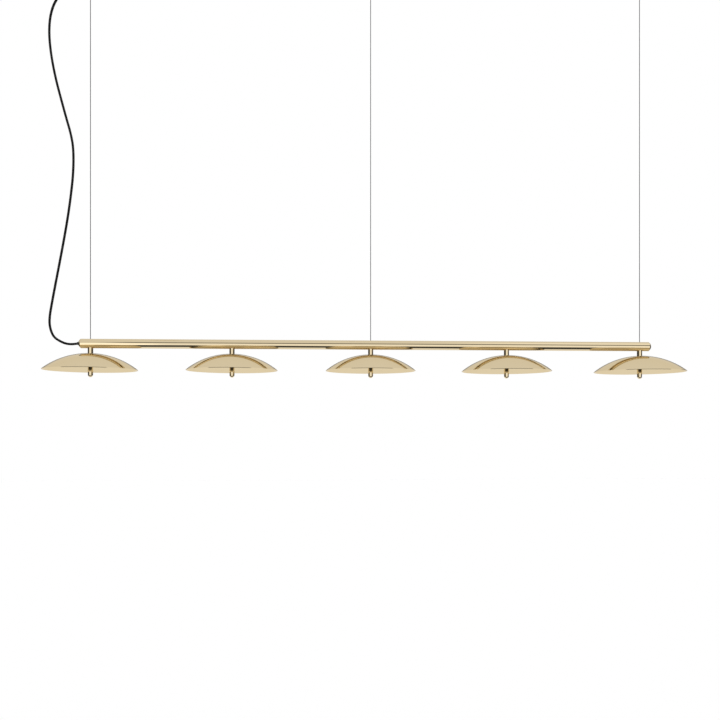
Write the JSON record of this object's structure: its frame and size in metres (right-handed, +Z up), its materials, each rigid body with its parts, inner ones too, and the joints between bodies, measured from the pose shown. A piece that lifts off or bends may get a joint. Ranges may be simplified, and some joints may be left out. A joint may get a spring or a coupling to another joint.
{
  "type": "linear island pendant",
  "caption": "Linear pendant light: shallow brass dishes hang under one straight rail, held by thin ceiling cables and fed by a black cord.",
  "frame": {"origin": "screw hole of the middle cable's ceiling base, in the ceiling plane", "axes": "+X along the rail away from the power canopy, +Z up into the ceiling, and the picture's camera is on the -Y side"},
  "size_m": [1.768, 0.248, 1.201],
  "materials": {
    "champagne_brass": "polished, clear-coated champagne brass",
    "plain_brass": "turned brass",
    "zinc_steel": "zinc plated",
    "cable_steel": "stranded steel",
    "spring_steel": "drawn wire",
    "nickel": "nickel plated",
    "heat_plate": "turned, uncoated",
    "board_white": "white solder mask",
    "opal": "opal",
    "wire_jacket": "smooth jacket",
    "gland_black": "moulded nylon",
    "cord_black": "smooth round jacket",
    "driver_case": "moulded case",
    "terminal_white": "moulded"
  },
  "bodies": {
    "fixture": {"rail_tube": "champagne_brass", "end_cap_left": "champagne_brass", "end_cap_right": "champagne_brass", "ceiling_bases": "champagne_brass", "canopy_cover": "champagne_brass", "stem_1": "champagne_brass", "stem_2": "champagne_brass", "stem_3": "champagne_brass", "stem_4": "champagne_brass", "stem_5": "champagne_brass", "shade_1": "champagne_brass", "shade_2": "champagne_brass", "shade_3": "champagne_brass", "shade_4": "champagne_brass", "shade_5": "champagne_brass", "gripper_left": "champagne_brass", "gripper_centre": "champagne_brass", "gripper_right": "champagne_brass", "rail_hubs": "plain_brass", "lamp_nipples": "zinc_steel", "shade_nuts": "zinc_steel", "canopy_bracket": "zinc_steel", "canopy_nipple": "zinc_steel", "canopy_locknuts": "zinc_steel", "cable_stops": "zinc_steel", "cable_left": "cable_steel", "cable_centre": "cable_steel", "cable_right": "cable_steel", "spring_left": "spring_steel", "spring_centre": "spring_steel", "spring_right": "spring_steel", "head_plates": "heat_plate", "led_boards": "board_white", "rail_wiring": "wire_jacket", "lamp_leads": "wire_jacket", "driver_leads": "wire_jacket", "cord_gland": "gland_black", "cord_ferrule": "gland_black", "power_cord": "cord_black", "led_driver": "driver_case", "terminal_block": "terminal_white"},
    "release_left": {"release_left": "nickel"},
    "release_centre": {"release_centre": "nickel"},
    "release_right": {"release_right": "nickel"},
    "light_cover_1": {"diffuser_1": "opal"},
    "finial_1": {"finial_1": "champagne_brass"},
    "light_cover_2": {"diffuser_2": "opal"},
    "finial_2": {"finial_2": "champagne_brass"},
    "light_cover_3": {"diffuser_3": "opal"},
    "finial_3": {"finial_3": "champagne_brass"},
    "light_cover_4": {"diffuser_4": "opal"},
    "finial_4": {"finial_4": "champagne_brass"},
    "light_cover_5": {"diffuser_5": "opal"},
    "finial_5": {"finial_5": "champagne_brass"}
  },
  "joints": [
    {"name": "release_left_push", "type": "slide", "parent": "fixture", "child": "release_left", "axis": [0, 0, 1], "range_m": [0, 0.0025], "stiffness_N_per_m": 600, "springref_m": -0.003, "deforming": ["spring_left"]},
    {"name": "release_centre_push", "type": "slide", "parent": "fixture", "child": "release_centre", "axis": [0, 0, 1], "range_m": [0, 0.0025], "stiffness_N_per_m": 600, "springref_m": -0.003, "deforming": ["spring_centre"]},
    {"name": "release_right_push", "type": "slide", "parent": "fixture", "child": "release_right", "axis": [0, 0, 1], "range_m": [0, 0.0025], "stiffness_N_per_m": 600, "springref_m": -0.003, "deforming": ["spring_right"]},
    {"name": "light_cover_1_drop", "type": "slide", "parent": "fixture", "child": "light_cover_1", "axis": [0, 0, -1], "range_m": [0, 0.004]},
    {"name": "finial_1_turn", "type": "hinge", "parent": "light_cover_1", "child": "finial_1", "pos_m": [-0.76, 0, -1.1637], "axis": [0, 0, -1], "range_deg": [0, 1440]},
    {"name": "light_cover_2_drop", "type": "slide", "parent": "fixture", "child": "light_cover_2", "axis": [0, 0, -1], "range_m": [0, 0.004]},
    {"name": "finial_2_turn", "type": "hinge", "parent": "light_cover_2", "child": "finial_2", "pos_m": [-0.38, 0, -1.1637], "axis": [0, 0, -1], "range_deg": [0, 1440]},
    {"name": "light_cover_3_drop", "type": "slide", "parent": "fixture", "child": "light_cover_3", "axis": [0, 0, -1], "range_m": [0, 0.004]},
    {"name": "finial_3_turn", "type": "hinge", "parent": "light_cover_3", "child": "finial_3", "pos_m": [0, 0, -1.1637], "axis": [0, 0, -1], "range_deg": [0, 1440]},
    {"name": "light_cover_4_drop", "type": "slide", "parent": "fixture", "child": "light_cover_4", "axis": [0, 0, -1], "range_m": [0, 0.004]},
    {"name": "finial_4_turn", "type": "hinge", "parent": "light_cover_4", "child": "finial_4", "pos_m": [0.38, 0, -1.1637], "axis": [0, 0, -1], "range_deg": [0, 1440]},
    {"name": "light_cover_5_drop", "type": "slide", "parent": "fixture", "child": "light_cover_5", "axis": [0, 0, -1], "range_m": [0, 0.004]},
    {"name": "finial_5_turn", "type": "hinge", "parent": "light_cover_5", "child": "finial_5", "pos_m": [0.76, 0, -1.1637], "axis": [0, 0, -1], "range_deg": [0, 1440]}
  ],
  "couplings": [
    {"joint": "finial_1_turn", "follows": "light_cover_1_drop", "rad_per_m": 6283.2},
    {"joint": "finial_2_turn", "follows": "light_cover_2_drop", "rad_per_m": 6283.2},
    {"joint": "finial_3_turn", "follows": "light_cover_3_drop", "rad_per_m": 6283.2},
    {"joint": "finial_4_turn", "follows": "light_cover_4_drop", "rad_per_m": 6283.2},
    {"joint": "finial_5_turn", "follows": "light_cover_5_drop", "rad_per_m": 6283.2}
  ]
}
